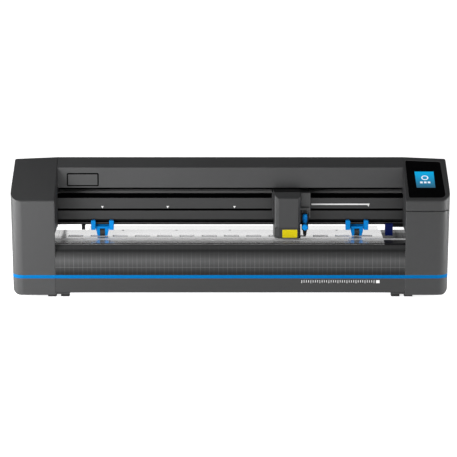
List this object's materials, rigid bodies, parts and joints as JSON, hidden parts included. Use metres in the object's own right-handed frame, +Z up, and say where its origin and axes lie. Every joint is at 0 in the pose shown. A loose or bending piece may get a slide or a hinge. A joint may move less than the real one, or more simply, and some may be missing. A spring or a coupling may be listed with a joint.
{
  "type": "desktop roll sign cutter",
  "caption": "Desktop roll-fed drag-knife cutter: towers at both ends, knife carriage on a beam, pinch rollers over a platen with grit drums.",
  "frame": {"origin": "centre of the bounding box on the plane of the feet", "axes": "+X along the beam to the right as the operator faces it, +Y to the back, +Z up"},
  "size_m": [1.056, 0.3801, 0.322],
  "materials": {
    "accent_stripes": "gloss",
    "badge_plate": "gloss",
    "base_tray": "satin",
    "beam": "black anodised satin",
    "belt_brackets": "zinc plated",
    "carriage_base": "fine texture",
    "carriage_belt": "matte",
    "carriage_chassis": "satin",
    "carriage_cover": "fine texture",
    "carriage_idler_pulley": "satin",
    "carriage_label": "gloss",
    "carriage_motor_pulley": "satin",
    "circuit_boards": "satin",
    "clamp_knob": "gloss",
    "control_housing": "fine texture",
    "cutting_strip": "matte",
    "drum_belt": "matte",
    "drum_motor_pulley": "satin",
    "drum_shaft": "ground",
    "feet": "matte",
    "front_apron": "satin",
    "front_panel": "satin",
    "grit_drums": "knurled grit",
    "guide_roller_left": "satin",
    "guide_roller_rear": "satin",
    "guide_roller_right": "satin",
    "inner_walls": "satin",
    "knife_blade": "ground",
    "knife_cap": "gloss",
    "knife_holder": "satin",
    "lcd_module": "lit screen",
    "left_tower_shell": "fine texture",
    "lift_bar": "satin",
    "lift_coil": "wound copper",
    "lift_lever": "satin",
    "lift_link": "zinc plated",
    "media_sensor": "matte",
    "motors": "satin",
    "pinch_arm_left": "gloss",
    "pinch_arm_right": "gloss",
    "pinch_roller_left": "matte",
    "pinch_roller_right": "matte",
    "pinch_slider_left": "gloss",
    "pinch_slider_right": "gloss",
    "platen": "satin anodised",
    "platen_end": "satin",
    "power_rocker": "satin",
    "power_supply": "galvanised",
    "printed_marks": "ink",
    "rear_apron": "satin",
    "rear_guide_plate": "satin",
    "rear_sockets": "satin",
    "right_tower_shell": "fine texture",
    "screen_glass": "polished",
    "side_frames": "zinc",
    "stand_brackets": "satin",
    "table_screws": "zinc plated",
    "tool_clamp": "satin",
    "tool_plate": "satin",
    "top_cover": "satin"
  },
  "bodies": {
    "base": {"accent_stripes": "accent_stripes", "badge_plate": "badge_plate", "base_tray": "base_tray", "beam": "beam", "belt_brackets": "belt_brackets", "carriage_belt": "carriage_belt", "circuit_boards": "circuit_boards", "control_housing": "control_housing", "cutting_strip": "cutting_strip", "drum_belt": "drum_belt", "feet": "feet", "front_apron": "front_apron", "front_panel": "front_panel", "inner_walls": "inner_walls", "lcd_module": "lcd_module", "left_tower_shell": "left_tower_shell", "media_sensor": "media_sensor", "motors": "motors", "platen": "platen", "platen_end": "platen_end", "power_supply": "power_supply", "printed_marks": "printed_marks", "rear_apron": "rear_apron", "rear_guide_plate": "rear_guide_plate", "rear_sockets": "rear_sockets", "right_tower_shell": "right_tower_shell", "screen_glass": "screen_glass", "side_frames": "side_frames", "stand_brackets": "stand_brackets", "table_screws": "table_screws", "top_cover": "top_cover"},
    "carriage": {"carriage_chassis": "carriage_chassis", "carriage_cover": "carriage_cover", "carriage_base": "carriage_base", "carriage_label": "carriage_label", "tool_plate": "tool_plate", "lift_coil": "lift_coil"},
    "roller_left": {"guide_roller_left": "guide_roller_left"},
    "roller_right": {"guide_roller_right": "guide_roller_right"},
    "roller_rear": {"guide_roller_rear": "guide_roller_rear"},
    "tool": {"tool_clamp": "tool_clamp", "knife_holder": "knife_holder"},
    "depth_cap": {"knife_cap": "knife_cap"},
    "knob": {"clamp_knob": "clamp_knob"},
    "blade": {"knife_blade": "knife_blade"},
    "motor_pulley": {"carriage_motor_pulley": "carriage_motor_pulley"},
    "idler_pulley": {"carriage_idler_pulley": "carriage_idler_pulley"},
    "drum": {"drum_shaft": "drum_shaft", "grit_drums": "grit_drums"},
    "drive_pulley": {"drum_motor_pulley": "drum_motor_pulley"},
    "slider_left": {"pinch_slider_left": "pinch_slider_left"},
    "slider_right": {"pinch_slider_right": "pinch_slider_right"},
    "arm_left": {"pinch_arm_left": "pinch_arm_left"},
    "arm_right": {"pinch_arm_right": "pinch_arm_right"},
    "pinch_left": {"pinch_roller_left": "pinch_roller_left"},
    "pinch_right": {"pinch_roller_right": "pinch_roller_right"},
    "lever": {"lift_lever": "lift_lever"},
    "link": {"lift_link": "lift_link"},
    "lift_shaft": {"lift_bar": "lift_bar"},
    "rocker": {"power_rocker": "power_rocker"}
  },
  "joints": [
    {"name": "carriage_slide", "type": "slide", "parent": "base", "child": "carriage", "axis": [1, 0, 0], "range_m": [-0.513, 0.175]},
    {"name": "guide_roller_left_spin", "type": "hinge", "parent": "carriage", "child": "roller_left", "pos_m": [0.1155, -0.0813, 0.2316], "axis": [0, 0, 1], "continuous": true},
    {"name": "guide_roller_right_spin", "type": "hinge", "parent": "carriage", "child": "roller_right", "pos_m": [0.1808, -0.0813, 0.2316], "axis": [0, 0, 1], "continuous": true},
    {"name": "guide_roller_rear_spin", "type": "hinge", "parent": "carriage", "child": "roller_rear", "pos_m": [0.14815, -0.0587, 0.2316], "axis": [0, 0, 1], "continuous": true},
    {"name": "tool_lift", "type": "slide", "parent": "carriage", "child": "tool", "axis": [0, 0, 1], "range_m": [-0.0055, 0], "stiffness_N_per_m": 400, "springref_m": 0.003},
    {"name": "depth_cap_turn", "type": "hinge", "parent": "tool", "child": "depth_cap", "pos_m": [0.181, -0.125, 0.184], "axis": [0, 0, 1], "range_deg": [0, 350]},
    {"name": "clamp_knob_turn", "type": "hinge", "parent": "tool", "child": "knob", "pos_m": [0.181, -0.139, 0.1656], "axis": [0, -1, 0], "range_deg": [0, 270]},
    {"name": "blade_swivel", "type": "hinge", "parent": "tool", "child": "blade", "pos_m": [0.181, -0.125, 0.14], "axis": [0, 0, 1], "continuous": true},
    {"name": "motor_pulley_spin", "type": "hinge", "parent": "base", "child": "motor_pulley", "pos_m": [0.468, -0.038, 0.234], "axis": [0, 0, 1], "continuous": true},
    {"name": "idler_pulley_spin", "type": "hinge", "parent": "base", "child": "idler_pulley", "pos_m": [-0.468, -0.038, 0.234], "axis": [0, 0, 1], "continuous": true},
    {"name": "drum_spin", "type": "hinge", "parent": "base", "child": "drum", "pos_m": [0, -0.088, 0.1213], "axis": [1, 0, 0], "continuous": true},
    {"name": "drive_pulley_spin", "type": "hinge", "parent": "base", "child": "drive_pulley", "pos_m": [-0.43, -0.005, 0.072], "axis": [1, 0, 0], "continuous": true},
    {"name": "pinch_left_slide", "type": "slide", "parent": "base", "child": "slider_left", "axis": [1, 0, 0], "range_m": [-0.01, 0.32]},
    {"name": "pinch_right_slide", "type": "slide", "parent": "base", "child": "slider_right", "axis": [1, 0, 0], "range_m": [-0.11, 0.03]},
    {"name": "pinch_left_lift", "type": "hinge", "parent": "slider_left", "child": "arm_left", "pos_m": [-0.312, -0.056, 0.155], "axis": [-1, 0, 0], "range_deg": [0, 5.5]},
    {"name": "pinch_right_lift", "type": "hinge", "parent": "slider_right", "child": "arm_right", "pos_m": [0.309, -0.056, 0.155], "axis": [-1, 0, 0], "range_deg": [0, 5.5]},
    {"name": "pinch_left_spin", "type": "hinge", "parent": "arm_left", "child": "pinch_left", "pos_m": [-0.312, -0.088, 0.1429], "axis": [1, 0, 0], "continuous": true},
    {"name": "pinch_right_spin", "type": "hinge", "parent": "arm_right", "child": "pinch_right", "pos_m": [0.309, -0.088, 0.1429], "axis": [1, 0, 0], "continuous": true},
    {"name": "lift_lever_turn", "type": "hinge", "parent": "base", "child": "lever", "pos_m": [0.387, -0.094, 0.1605], "axis": [-1, 0, 0], "range_deg": [0, 80]},
    {"name": "lift_link_turn", "type": "hinge", "parent": "lever", "child": "link", "pos_m": [0.447, -0.094, 0.1765], "axis": [-1, 0, 0], "range_deg": [-80, 0]},
    {"name": "lift_bar_turn", "type": "hinge", "parent": "base", "child": "lift_shaft", "pos_m": [0, -0.042, 0.156], "axis": [-1, 0, 0], "range_deg": [0, 80]},
    {"name": "power_rocker_tilt", "type": "hinge", "parent": "base", "child": "rocker", "pos_m": [0.47, 0.1832, 0.112], "axis": [0, 0, 1], "range_deg": [0, 16]}
  ],
  "couplings": [
    {"joint": "guide_roller_left_spin", "follows": "carriage_slide", "rad_per_m": 142.86},
    {"joint": "guide_roller_right_spin", "follows": "carriage_slide", "rad_per_m": 142.86},
    {"joint": "guide_roller_rear_spin", "follows": "carriage_slide", "rad_per_m": -142.86},
    {"joint": "motor_pulley_spin", "follows": "carriage_slide", "rad_per_m": 100},
    {"joint": "idler_pulley_spin", "follows": "carriage_slide", "rad_per_m": 100},
    {"joint": "drive_pulley_spin", "follows": "drum_spin", "ratio": 2},
    {"joint": "lift_link_turn", "follows": "lift_lever_turn", "ratio": -1},
    {"joint": "lift_bar_turn", "follows": "lift_lever_turn", "ratio": 1},
    {"joint": "pinch_left_lift", "follows": "lift_lever_turn", "ratio": 0.0625},
    {"joint": "pinch_right_lift", "follows": "lift_lever_turn", "ratio": 0.0625}
  ]
}
